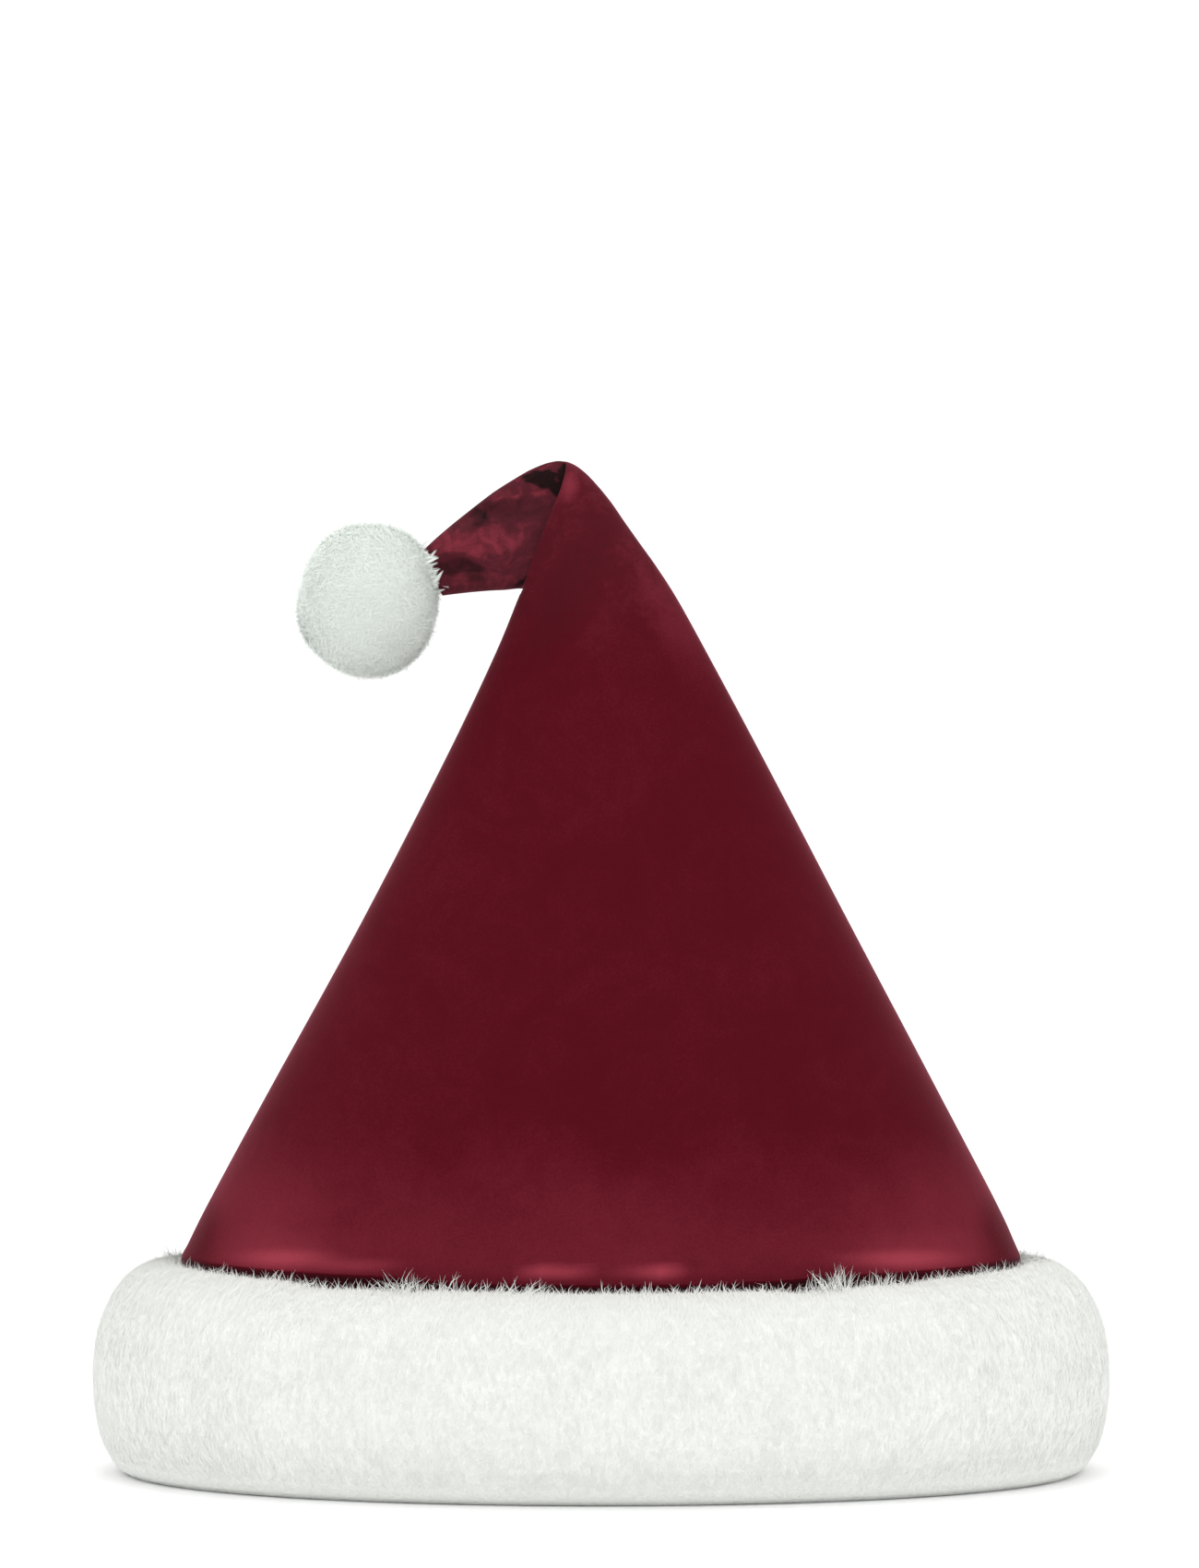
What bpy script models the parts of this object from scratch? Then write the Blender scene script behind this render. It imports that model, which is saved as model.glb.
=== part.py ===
"""A velvet hat whose tall soft cone folds over at the top, with a plush band round its opening and a pompom.

The hat stands on the flat underside of its band. X runs across its width, the front is -Y and Z is up.
The origin is on the floor, in the middle of the opening. Sizes are in metres.
"""

from collections import namedtuple
from math import atan2, copysign, cos, pi, radians, sin

import bmesh
import bpy
from mathutils import Matrix, Vector

MM = 0.001

# Driving sizes
WALL = 1.6 * MM  # the velvet with its backing
GAP = 0.3 * MM  # between pieces that touch
SLIM = 0.498  # depth of the oval cone over its width
BAND_HEIGHT = 62.4 * MM
BAND_DIP = 2.8 * MM  # its crest is this much lower at the front and back
BAND_THICK = 24.7 * MM
BAND_LOCK = 2.1 * MM  # how far the plush stands up in locks
POMPOM_WIDTH = 39.4 * MM
POMPOM_TALL = 42.2 * MM
POMPOM_LOCK = 2.2 * MM
POMPOM_DROOP = 1.1 * MM  # its locks hang down this far
POMPOM_CENTRE = Vector((-66.1, 0.6, 248.0)) * MM

# How finely the shapes are drawn
CROWN_SIDES = 36
BAND_SIDES = 104
BAND_LOCK_ROWS = 4

VELVET = (0.102, 0.008, 0.015)
PLUSH = (0.86, 0.87, 0.84)
POMPOM_PLUSH = (0.73, 0.77, 0.74)

# A section of the cone reaches from its low edge to its high edge in the XZ plane. On the upright body
# those are its left and right edges. All in millimetres. steps is the number of rings up to the next row.
Section = namedtuple("Section", "low_x low_z high_x high_z steps")
BODY = (
    Section(-118.7, 3.0, 118.7, 3.0, 2),
    Section(-118.8, 57.0, 118.8, 57.0, 2),
    Section(-119.2, 64.8, 119.3, 64.8, 2),
    Section(-111.8, 77.8, 112.2, 77.8, 3),
    Section(-94.2, 109.6, 95.4, 109.6, 3),
    Section(-68.3, 156.6, 70.6, 156.6, 3),
    Section(-43.8, 204.4, 45.6, 204.4, 2),
    Section(-30.3, 232.8, 30.4, 232.8, 2),
    Section(-23.5, 248.5, 21.6, 248.7, 1),
)

# Where the cone folds over, its sections turn about the crease. The front cloth overlaps itself in one
# pleat: there it is turned by lap degrees past its section and stands proud by rise millimetres, over an
# inside that stands back by tuck millimetres.
Fold = namedtuple("Fold", "low_x low_z high_x high_z depth lap rise tuck")
FOLD = (
    Fold(-21.6, 251.2, 15.7, 257.9, 10.2, 0, 0.0, 0.0),
    Fold(-20.9, 252.0, 11.2, 264.2, 9.6, 0, 0.2, 0.4),
    Fold(-20.7, 252.5, 6.8, 270.4, 9.1, 0, 0.5, 1.0),
    Fold(-20.7, 252.9, 2.4, 276.7, 8.7, 0, 0.8, 1.7),
    Fold(-20.9, 253.2, -2.9, 282.9, 8.3, 1, 1.2, 2.3),
    Fold(-21.2, 253.4, -6.6, 286.1, 8.0, 3, 1.7, 2.5),
    Fold(-21.5, 253.5, -9.8, 287.6, 7.8, 4, 1.9, 2.5),
    Fold(-21.8, 253.5, -11.4, 287.9, 7.7, 2, 0.8, 2.5),
    Fold(-22.0, 253.5, -13.0, 287.8, 7.6, -7, 0.3, 2.5),
    Fold(-22.3, 253.4, -14.6, 287.5, 7.5, -8, -0.7, 2.5),
    Fold(-22.7, 253.3, -17.2, 286.7, 7.4, -2, -1.2, 2.3),
    Fold(-23.4, 253.0, -21.0, 285.0, 7.2, 0, -1.2, 1.8),
    Fold(-24.8, 252.6, -25.4, 282.4, 7.0, 0, -0.8, 1.2),
    Fold(-27.6, 252.0, -30.7, 279.0, 6.7, 0, -0.3, 0.6),
    Fold(-31.8, 251.4, -36.6, 274.5, 6.2, 0, 0.2, 0.2),
    Fold(-36.6, 250.8, -42.5, 269.8, 5.7, 0, 0.0, 0.0),
    Fold(-41.2, 250.2, -47.4, 265.6, 5.2, 0, -0.2, 0.2),
    Fold(-45.2, 249.6, -51.3, 261.9, 4.7, 0, 0.0, 0.0),
)
BACK_OF_TIP = 1.4  # millimetres that the tip lies behind the body's middle plane

# Soft swells of the cloth where it comes out of the band, in degrees round from +X, and in millimetres.
Swell = namedtuple("Swell", "around height half_angle half_height rise")
SWELLS = (
    Swell(214, 74, 15, 13, 1.6),
    Swell(252, 72, 11, 11, 0.9),
    Swell(283, 72, 11, 11, 0.9),
    Swell(325, 74, 16, 13, 1.6),
    Swell(28, 75, 16, 14, 1.1),
    Swell(74, 73, 14, 12, 1.2),
    Swell(112, 75, 16, 14, 1.3),
    Swell(151, 74, 15, 13, 1.1),
)

# Soft dents in the band's upper edge.
Dent = namedtuple("Dent", "around half_angle drop")
DENTS = (
    Dent(232, 8, 1.9),
    Dent(241, 6, 1.3),
    Dent(297, 9, 1.8),
    Dent(312, 6, 1.0),
    Dent(62, 9, 1.6),
    Dent(118, 10, 1.5),
)


def main():
    clear_scene()
    parts = new_collection("santa_hat")
    guides = new_collection("guides")
    add_piece(parts, "crown", make_crown(), material("velvet_red", VELVET, 0.85))
    add_piece(parts, "fur_band", make_band(), material("plush_white", PLUSH, 0.95))
    add_piece(parts, "pompom", make_pompom(), material("plush_pompom", POMPOM_PLUSH, 0.95))
    add_head_guide(guides)


def clear_scene():
    for thing in list(bpy.data.objects):
        bpy.data.objects.remove(thing, do_unlink=True)


def new_collection(name):
    group = bpy.data.collections.new(name)
    bpy.context.scene.collection.children.link(group)
    return group


def material(name, colour, roughness):
    made = bpy.data.materials.new(name)
    made.use_nodes = True
    made.diffuse_color = (*colour, 1.0)
    shader = made.node_tree.nodes["Principled BSDF"]
    shader.inputs["Base Color"].default_value = (*colour, 1.0)
    shader.inputs["Roughness"].default_value = roughness
    shader.inputs["Metallic"].default_value = 0.0
    return made


def add_piece(group, name, bm, finish):
    bmesh.ops.recalc_face_normals(bm, faces=bm.faces)
    mesh = bpy.data.meshes.new(name)
    bm.to_mesh(mesh)
    bm.free()
    mesh.materials.append(finish)
    mesh.shade_smooth()
    mesh.set_sharp_from_angle(angle=radians(50))
    piece = bpy.data.objects.new(name, mesh)
    group.objects.link(piece)
    return piece


def bump(distance, half_width):
    """One at the middle, falling smoothly to nothing half_width away."""
    share = min(abs(distance) / half_width, 1.0)
    return 0.5 + 0.5 * cos(pi * share)


def degrees_apart(first, second):
    return abs((first - second + 180) % 360 - 180)


def blend_rows(before, start, end, after, share):
    """A smooth curve through rows of numbers, between start and end."""
    weights = (
        -0.5 * share + share**2 - 0.5 * share**3,
        1 - 2.5 * share**2 + 1.5 * share**3,
        0.5 * share + 2 * share**2 - 1.5 * share**3,
        -0.5 * share**2 + 0.5 * share**3,
    )
    return [sum(w * v for w, v in zip(weights, column)) for column in zip(before, start, end, after)]


def body_edges():
    """The low and high edges of the upright sections, with rings added between the rows of BODY."""
    rows = [row[:4] for row in BODY]
    found = []
    for index, row in enumerate(BODY):
        before = rows[max(index - 1, 0)]
        end = rows[min(index + 1, len(rows) - 1)]
        after = rows[min(index + 2, len(rows) - 1)]
        if row.high_z < BAND_HEIGHT / MM:
            before, after = rows[index], end
        found += [blend_rows(before, row[:4], end, after, step / row.steps) for step in range(row.steps)]
    return found


def swell_at(around, height):
    """How far the cloth swells out, around in degrees and height in millimetres."""
    return sum(
        s.rise * bump(degrees_apart(around, s.around), s.half_angle) * bump(height - s.height, s.half_height)
        for s in SWELLS
    )


def oval(edges, depth, inset):
    """(turn, point) round a section, starting at its low edge and running over the front."""
    low = Vector((edges[0], 0, edges[1])) * MM
    high = Vector((edges[2], 0, edges[3])) * MM
    across = (high - low).normalized()
    half = (high - low).length / 2 - inset
    found = []
    for index in range(CROWN_SIDES):
        turn = 2 * pi * index / CROWN_SIDES
        point = (low + high) / 2 - across * half * cos(turn)
        point.y = -(depth - inset) * sin(turn)
        found.append((turn, point))
    return found


def body_ring(edges, inset):
    depth = SLIM * MM * (edges[2] - edges[0]) / 2
    points = []
    for turn, point in oval(edges, depth, inset):
        around = atan2(point.y, point.x) * 180 / pi
        outward = Vector((point.x * SLIM, point.y / SLIM, 0)).normalized()
        points.append(point + outward * swell_at(around, edges[1]) * MM)
    return points


def fold_ring(row, inset, rise, lap, back):
    """A section of the fold, its front cloth proud by rise millimetres and turned on by lap degrees."""
    low = Vector((row.low_x, 0, row.low_z)) * MM
    points = []
    for turn, point in oval(row[:4], row.depth * MM, inset):
        front = max(sin(turn), 0.0)
        point.y += back * MM - rise * MM * front**0.8
        turned = Matrix.Rotation(radians(-lap) * front, 4, "Y") @ (point - low)
        points.append(low + turned)
    return points


def skin(bm, rings):
    """Quads between neighbouring rings of vertices."""
    for lower, upper in zip(rings, rings[1:]):
        for index in range(len(lower)):
            after = (index + 1) % len(lower)
            bm.faces.new((lower[index], lower[after], upper[after], upper[index]))


def make_crown():
    """One cloth wall: outside with the pleat, inside plain, joined at the hem and closed at the tip."""
    backs = [BACK_OF_TIP * min(1.0, index / 10) for index in range(len(FOLD))]
    outer = [body_ring(edges, 0.0) for edges in body_edges()]
    inner = [body_ring(edges, WALL) for edges in body_edges()]
    for row, back in zip(FOLD, backs):
        outer.append(fold_ring(row, 0.0, row.rise, row.lap, back))
        if abs(row.lap) < 3 and row is not FOLD[-1]:
            inner.append(fold_ring(row, WALL, -row.tuck, 0, back))
    bm = bmesh.new()
    outer = [[bm.verts.new(point) for point in points] for points in outer]
    inner = [[bm.verts.new(point) for point in points] for points in inner]
    skin(bm, outer)
    skin(bm, inner)
    skin(bm, [outer[0], inner[0]])
    bm.faces.new(outer[-1])
    bm.faces.new(inner[-1])
    bmesh.ops.triangulate(bm, faces=bm.faces)
    return bm


def opening_point(turn, out):
    """A point on the floor plane, out from the oval that the cloth makes inside the band."""
    half_width = BODY[1].high_x * MM
    half_depth = half_width * SLIM
    edge = Vector((half_width * cos(turn), half_depth * sin(turn), 0))
    normal = Vector((half_depth * cos(turn), half_width * sin(turn), 0)).normalized()
    return edge + normal * (GAP + out)


def corner(centre, reach, start, end, power, steps):
    """(out, up) points on a rounded corner, from start to end degrees. A higher power is squarer."""
    points = []
    for step in range(steps + 1):
        turn = radians(start + (end - start) * step / steps)
        out = copysign(abs(cos(turn)) ** (2 / power), cos(turn))
        up = copysign(abs(sin(turn)) ** (2 / power), sin(turn))
        points.append((centre[0] + reach[0] * out, centre[1] + reach[1] * up))
    return points


def band_profile():
    """The roll's section as (out, up) rows: its inner wall, crest, full outside and flat underside."""
    crest_out = 6.0 * MM
    widest_up = 28.0 * MM
    foot_out = 12.5 * MM
    foot_corner = 3.0 * MM
    inner_corner = (crest_out, BAND_HEIGHT - crest_out)
    crest = corner(inner_corner, (crest_out, crest_out), 180, 110, 2.0, 2)
    shoulder_reach = (BAND_THICK - crest_out, BAND_HEIGHT - widest_up)
    shoulder = corner((crest_out, widest_up), shoulder_reach, 90, 0, 2.1, 7)
    lower = corner((foot_out, widest_up), (BAND_THICK - foot_out, widest_up), 0, -90, 2.2, 6)
    foot = [(foot_corner, 0.0), (0.0, foot_corner)]
    return crest + shoulder + lower[1:] + foot


def dent_at(around):
    return sum(d.drop * MM * bump(degrees_apart(around, d.around), d.half_angle) for d in DENTS)


def lock_lift(side, lock_row, along):
    """(lift, droop) of the plush, along a staggered pointed lock from its root at 0 to its tip at 1."""
    ridge = 1.0 if (side + lock_row) % 2 == 0 else 0.2
    return BAND_LOCK * ridge * (0.3 + 0.7 * along), BAND_LOCK * (ridge - 0.6) * along


def make_band():
    """A closed roll round the opening, with rows of locks down its outside."""
    profile = band_profile()
    crest = next(i for i, (out, up) in enumerate(profile) if up >= BAND_HEIGHT - GAP)
    foot = next(i for i, (out, up) in enumerate(profile) if i > crest and up < GAP)
    rings_a_lock = (foot - crest) / BAND_LOCK_ROWS
    bm = bmesh.new()
    rings = []
    for index, (out, up) in enumerate(profile):
        ring = []
        for side in range(BAND_SIDES):
            turn = 2 * pi * side / BAND_SIDES
            lift = droop = 0.0
            if crest <= index < foot:
                lock_row, along = divmod((index - crest) / rings_a_lock, 1)
                lift, droop = lock_lift(side, lock_row, along)
            fade = min(1.0, up / (6 * MM))
            point = opening_point(turn, out + lift * fade)
            drop = BAND_DIP * sin(turn) ** 2 + dent_at(side * 360 / BAND_SIDES)
            point.z = up * (1 - drop / BAND_HEIGHT) - droop * fade
            ring.append(bm.verts.new(point))
        rings.append(ring)
    skin(bm, rings + [rings[0]])
    bmesh.ops.triangulate(bm, faces=bm.faces)
    return bm


def make_pompom():
    """A ball of short locks, flat where the hat's tip ends against it."""
    bm = bmesh.new()
    bmesh.ops.create_icosphere(bm, subdivisions=4, radius=1.0)
    peaks = bmesh.new()
    bmesh.ops.create_icosphere(peaks, subdivisions=3, radius=1.0)
    lock_tips = [v.co.copy() for v in peaks.verts]
    peaks.free()
    reach = Vector((POMPOM_WIDTH, POMPOM_WIDTH, POMPOM_TALL)) / 2
    for vert in bm.verts:
        nearest = min(range(len(lock_tips)), key=lambda i: (vert.co - lock_tips[i]).length)
        on_tip = (vert.co - lock_tips[nearest]).length < 0.01
        length = POMPOM_LOCK * (0.8 + 0.2 * sin(2.4 * nearest)) if on_tip else 0.0
        droop = POMPOM_DROOP * (1 - vert.co.z**2) if on_tip else 0.0
        out = vert.co * (1 + length / reach.x)
        vert.co = POMPOM_CENTRE + Vector((out.x * reach.x, out.y * reach.y, out.z * reach.z - droop))
    seat(bm)
    bmesh.ops.triangulate(bm, faces=bm.faces)
    return bm


def seat(bm):
    """Cuts the ball flat, a gap away from the flat end of the hat's tip."""
    end = FOLD[-1]
    low = Vector((end.low_x, 0, end.low_z)) * MM
    high = Vector((end.high_x, 0, end.high_z)) * MM
    across = (high - low).normalized()
    away = Vector((-across.z, 0, across.x))
    plane = (low + high) / 2 + away * GAP
    everything = list(bm.verts) + list(bm.edges) + list(bm.faces)
    bmesh.ops.bisect_plane(bm, geom=everything, plane_co=plane, plane_no=-away, clear_outer=True)
    rim = [edge for edge in bm.edges if edge.is_boundary]
    bmesh.ops.edgeloop_fill(bm, edges=rim)


def add_head_guide(group):
    """A wire oval where a head goes in. It isn't part of the hat."""
    points = [opening_point(2 * pi * step / 48, -WALL - GAP) for step in range(48)]
    curve = bpy.data.curves.new("head_guide", "CURVE")
    curve.dimensions = "3D"
    line = curve.splines.new("POLY")
    line.points.add(len(points) - 1)
    for target, point in zip(line.points, points):
        target.co = (*point, 1.0)
    line.use_cyclic_u = True
    guide = bpy.data.objects.new("head_guide", curve)
    guide.hide_render = True
    guide.display_type = "WIRE"
    group.objects.link(guide)


main()
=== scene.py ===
from collections import namedtuple
from math import atan2, cos, hypot, pi, radians, sin, tan

import bmesh
import bpy
import numpy as np
from bpy.props import FloatProperty, FloatVectorProperty, IntProperty, PointerProperty
from bpy.types import Operator, Panel, PropertyGroup
from mathutils import Matrix, Vector, noise


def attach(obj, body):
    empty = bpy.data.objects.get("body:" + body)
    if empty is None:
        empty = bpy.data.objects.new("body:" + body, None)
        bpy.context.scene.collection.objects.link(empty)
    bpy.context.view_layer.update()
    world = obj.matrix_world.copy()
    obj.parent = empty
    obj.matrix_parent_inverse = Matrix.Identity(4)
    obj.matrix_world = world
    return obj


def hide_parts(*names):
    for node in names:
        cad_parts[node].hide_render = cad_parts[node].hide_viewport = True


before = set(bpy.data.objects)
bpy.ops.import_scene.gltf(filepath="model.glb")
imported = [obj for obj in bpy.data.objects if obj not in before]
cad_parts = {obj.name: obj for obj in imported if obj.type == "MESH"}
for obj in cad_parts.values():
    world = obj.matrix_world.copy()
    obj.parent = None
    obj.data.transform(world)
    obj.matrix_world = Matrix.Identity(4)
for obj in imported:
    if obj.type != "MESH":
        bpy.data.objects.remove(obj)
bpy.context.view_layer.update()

bl_info = {
    "name": "Velvet Santa Hat",
    "version": (1, 0, 0),
    "blender": (4, 5, 0),
    "location": "View3D > Sidebar > Hat",
    "description": "Builds a folded velvet hat with a plush band and pompom round its plain solids",
    "category": "Add Mesh",
}

MM = 0.001
FLOOR_CLEAR = 0.3 * MM  # hairs stay this far over the floor

# The camera stands where the photo's did: low, a long way off, and level with the middle of the frame
PHOTO_TALL = 1700  # pixels
SENSOR = 36.0  # millimetres, along the photo's height
PIXEL_AT_HAT = 0.2625 * MM
CAMERA_AWAY = 2.0
CAMERA_PITCH = radians(1.9)
FLOOR_PIXEL = 1594  # the row where the middle of the hat meets the floor
CAMERA_ASIDE = -0.5 * MM


# Shape of the velvet cone

# A row for each section of the upright body, from its left (low) edge to its right (high) edge, in
# millimetres. rings is how many loops are drawn from it up to the next row.
Body = namedtuple("Body", "low_x low_z high_x high_z rings")
BODY = (
    Body(-118.7, 3.0, 118.7, 3.0, 3),
    Body(-118.8, 52.0, 118.8, 52.0, 5),
    Body(-119.4, 58.5, 119.4, 58.5, 4),
    Body(-119.7, 61.2, 119.5, 61.2, 6),
    Body(-117.6, 65.5, 117.8, 65.5, 18),
    Body(-111.4, 77.8, 112.1, 77.8, 16),
    Body(-94.2, 109.6, 95.4, 109.6, 16),
    Body(-68.3, 156.6, 70.6, 156.6, 16),
    Body(-43.8, 204.4, 45.6, 204.4, 12),
    Body(-30.3, 232.8, 30.4, 232.8, 9),
    Body(-23.8, 248.5, 21.6, 248.7, 5),
)
SLIM = 0.498  # depth of the oval cone over its width

# A row for each section where the cone folds over about the crease. The front cloth laps over itself in a
# pleat: it is turned by lap degrees from its section, bows out and stands proud by bow and rise millimetres,
# over an inside that stands back by tuck millimetres.
Fold = namedtuple("Fold", "low_x low_z high_x high_z depth lap rise tuck bow rings")
FOLD = (
    Fold(-23.1, 249.9, 15.7, 257.9, 10.2, 0.0, 0.0, 0.0, 0.0, 6),
    Fold(-22.7, 250.8, 11.2, 264.2, 9.6, 0.0, 0.2, 0.4, 0.0, 6),
    Fold(-22.5, 251.2, 6.8, 270.4, 9.1, 0.0, 0.5, 1.2, 0.0, 6),
    Fold(-22.4, 251.4, 2.4, 276.7, 8.7, 0.0, 0.9, 2.2, 0.2, 6),
    Fold(-22.4, 251.5, -2.9, 282.9, 8.3, 0.0, 1.5, 3.2, 0.4, 5),
    Fold(-22.4, 251.6, -6.6, 286.1, 8.0, -0.5, 2.1, 3.8, 0.7, 4),
    Fold(-22.4, 251.6, -9.3, 287.5, 7.8, -1.5, 2.5, 4.0, 0.8, 4),
    Fold(-22.4, 251.6, -10.9, 287.8, 7.7, -2.5, 1.9, 4.0, 0.9, 6),
    Fold(-22.5, 251.6, -12.2, 287.9, 7.6, -11.0, 0.7, 4.0, 0.7, 6),
    Fold(-22.6, 251.6, -13.8, 287.7, 7.5, -13.5, -1.4, 4.0, 0.4, 6),
    Fold(-22.9, 251.6, -16.4, 287.0, 7.4, -6.0, -2.5, 3.8, 0.0, 6),
    Fold(-23.6, 251.6, -20.6, 285.2, 7.2, -1.0, -2.3, 3.2, 0.0, 6),
    Fold(-24.8, 251.5, -25.4, 282.4, 7.0, 0.0, -1.5, 2.2, 0.0, 8),
    Fold(-27.6, 251.2, -30.7, 279.0, 6.7, 0.0, -0.7, 1.2, 0.0, 9),
    Fold(-31.8, 251.0, -36.6, 274.5, 6.2, 0.0, 0.0, 0.4, 0.0, 9),
    Fold(-36.6, 250.6, -42.5, 269.8, 5.7, 0.0, 0.0, 0.0, 0.0, 8),
    Fold(-41.2, 250.1, -47.4, 265.6, 5.2, 0.0, -0.2, 0.2, 0.0, 8),
    Fold(-45.2, 249.6, -51.3, 261.9, 4.7, 0.0, 0.0, 0.0, 0.0, 1),
)
BACK_OF_TIP = 1.4 * MM  # how far the tip lies behind the body's middle plane
BACK_FROM_ROW = 10  # the fold's row from which it does

# Soft swells of the cloth where it comes out of the band, in degrees round from +X, and in millimetres.
Swell = namedtuple("Swell", "around height half_angle half_height rise")
SWELLS = (
    Swell(217, 66, 14, 8, 2.2),
    Swell(238, 65, 9, 7, 1.0),
    Swell(263, 64, 7, 7, 1.4),
    Swell(277, 64, 7, 7, 1.2),
    Swell(301, 65, 9, 7, 1.0),
    Swell(321, 66, 15, 8, 2.2),
    Swell(28, 67, 16, 11, 1.6),
    Swell(74, 66, 14, 10, 1.3),
    Swell(112, 67, 16, 11, 1.5),
    Swell(151, 67, 15, 10, 1.6),
)

# Creases pressed into the tip, by place in the XZ plane in millimetres. tilt is in degrees.
Crease = namedtuple("Crease", "x z long wide tilt front_rise")
CREASES = (
    Crease(-30.0, 273.5, 13.0, 3.4, 4, -1.5),
    Crease(-33.0, 265.5, 15.0, 4.0, -14, 1.1),
    Crease(-41.0, 258.3, 10.0, 3.0, -8, -1.3),
    Crease(-25.5, 257.0, 6.0, 2.2, 62, -0.8),
    Crease(-38.0, 271.0, 7.0, 2.0, 38, -0.6),
)

# Patches of lighter or darker velvet, by place in the XZ plane of the front in millimetres: crushed and
# brushed-up pile, painted shade and painted highlights. tilt is in degrees, tone runs from -1 for crushed
# dark pile and painted shade to 1 for brushed-up pile and painted highlight, and soft is the share that
# fades out.
PileAndLight = namedtuple("PileAndLight", "x z long wide tilt soft tone")
TIP_PILE_AND_SHADE = (
    # The first three are painted shade under the pleat's edge, with a thin lighter line across it next, and
    # the last is painted shade at the pleat's lower end; the others are crushed and brushed-up pile and
    # partly painted light and shade of the crumples
    PileAndLight(-17.3, 284.0, 6.0, 2.1, 16, 0.25, -1.7),
    PileAndLight(-15.6, 281.9, 5.0, 2.5, -42, 0.25, -1.7),
    PileAndLight(-11.3, 282.6, 5.6, 2.4, 80, 0.25, -1.5),
    PileAndLight(-13.4, 284.8, 2.2, 0.45, -64, 0.7, 0.8),
    PileAndLight(-34.4, 272.0, 3.9, 2.6, -20, 0.5, -0.5),
    PileAndLight(-31.2, 273.8, 4.0, 1.8, 35, 0.6, -0.25),
    PileAndLight(-26.2, 274.2, 11.8, 4.0, 3, 0.25, -0.3),
    PileAndLight(-23.6, 279.4, 2.6, 1.3, 80, 0.8, 0.35),
    PileAndLight(-29.0, 277.6, 2.8, 0.9, 32, 0.8, 0.3),
    PileAndLight(-17.8, 278.0, 3.6, 1.4, -28, 0.8, 0.2),
    PileAndLight(-35.4, 265.2, 16.0, 5.2, 3, 0.35, 0.3),
    PileAndLight(-38.6, 264.2, 6.5, 3.6, 0, 0.8, 0.14),
    PileAndLight(-39.8, 257.6, 9.2, 2.3, -3, 0.35, -0.6),
    PileAndLight(-35.2, 254.9, 3.8, 2.6, -15, 0.5, -0.5),
    PileAndLight(-22.6, 254.2, 3.6, 1.5, 42, 0.3, -0.85),
)
BODY_PAINTED_LIGHT = (
    # All painted light and shade: a highlight by the fold, shade on the left and light on the right of the
    # cone's top, glows and highlights just over the band, and shade at the cone's sides near it
    PileAndLight(-8.9, 280.6, 7.5, 3.8, 80, 0.9, 0.36),
    PileAndLight(-11.0, 248.0, 32.0, 11.0, 63, 1.0, -0.17),
    PileAndLight(18.5, 246.0, 34.0, 9.0, -62, 1.0, 0.16),
    PileAndLight(-95.0, 77.0, 26.0, 26.0, 0, 1.0, 0.17),
    PileAndLight(94.0, 77.0, 26.0, 26.0, 0, 1.0, 0.11),
    PileAndLight(-117.0, 71.0, 14.0, 17.0, 0, 1.0, -0.42),
    PileAndLight(117.0, 71.0, 14.0, 17.0, 0, 1.0, -0.42),
    PileAndLight(-92.0, 64.5, 26.0, 11.0, 0, 1.0, 0.22),
    PileAndLight(90.0, 64.5, 28.0, 11.0, 0, 1.0, 0.26),
    PileAndLight(-88.0, 64.6, 21.0, 3.8, 3, 1.0, 0.55),
    PileAndLight(-68.0, 63.6, 17.0, 3.0, 3, 1.0, 0.4),
    PileAndLight(-13.5, 62.8, 12.0, 3.4, 0, 1.0, 0.82),
    PileAndLight(15.5, 62.8, 11.0, 3.4, 0, 1.0, 0.82),
    PileAndLight(84.0, 64.6, 25.0, 3.8, -3, 1.0, 0.57),
)
DARKEST = -1.1  # patches together make no darker tone than this

# The other changes of the pile's tone, with painted glow and shade. Heights, reaches and wanders are in
# millimetres, rows are the fold's.
TIP_FROM_ROW = 8.0  # from here on the pile is the tip's
BRIM_GLOW = 0.2  # painted glow: the body's velvet is lighter near the band
GLOW_HEIGHT = 62.0
GLOW_REACH = 45.0  # up and down from there to where the glow ends
CREST_SHADE = 0.9  # it is darker where the band's plush covers it
SHADE_REACH = 1.6  # up to this far over the crest
SHADE_FADE = 1.2
RIM_SHADE = 0.6  # the tip has a dark line along its upper edge
RIM_FROM_ROW = 12
RIM_START = 0.94  # of the way from a section's middle to that edge
RIM_FADE = 0.05
SIDE_FADE = 0.3  # how far round a side seam the front's tones turn into the back's
BEHIND_TIP = (60, 0.5)  # the scale and the tone of the unevenness behind
BEHIND_BODY = (22, 0.2)
WANDERS = ((150, 1.8), (420, 0.9))  # scales and reaches of the bends in the tip's patches
RAGGED_SCALES = (160, 480)
RAGGED = 0.12  # how ragged those patches' outlines are, as a share of their size
BODY_CRUSH = 0.4  # how much of the tip's creased mottle and duller colour the body has at its top, for one on the tip
CRUSH_HEIGHT = 222
CRUSH_REACH = 50

# Soft dents in the band's upper edge.
Dent = namedtuple("Dent", "around half_angle drop")
DENTS = (
    Dent(232, 9, 0.8),
    Dent(242, 8, 0.6),
    Dent(299, 10, 0.8),
    Dent(312, 8, 0.4),
    Dent(62, 9, 0.8),
    Dent(118, 10, 0.7),
)
HOLLOW_DEPTH = 1.1 * MM  # the dents run on down the shoulder as hollows
HOLLOW_LENGTH = 34 * MM
HOLLOW_PLACE = 0.2  # the share of the roll's profile where they are deepest
BAND_DIP = 2.8 * MM  # the band's crest is this much lower at the front and back
BAND_BUILT = 60.5 * MM  # the crest's height at its ends
BAND_THICK = 26.6 * MM
GAP = 0.3 * MM  # between the cone and the band
NAP_DEPTH = 0.8 * MM  # how far the roll lies under the plush's outer form
NAP_FROM = 3 * MM  # the height from which it lies that deep


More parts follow.
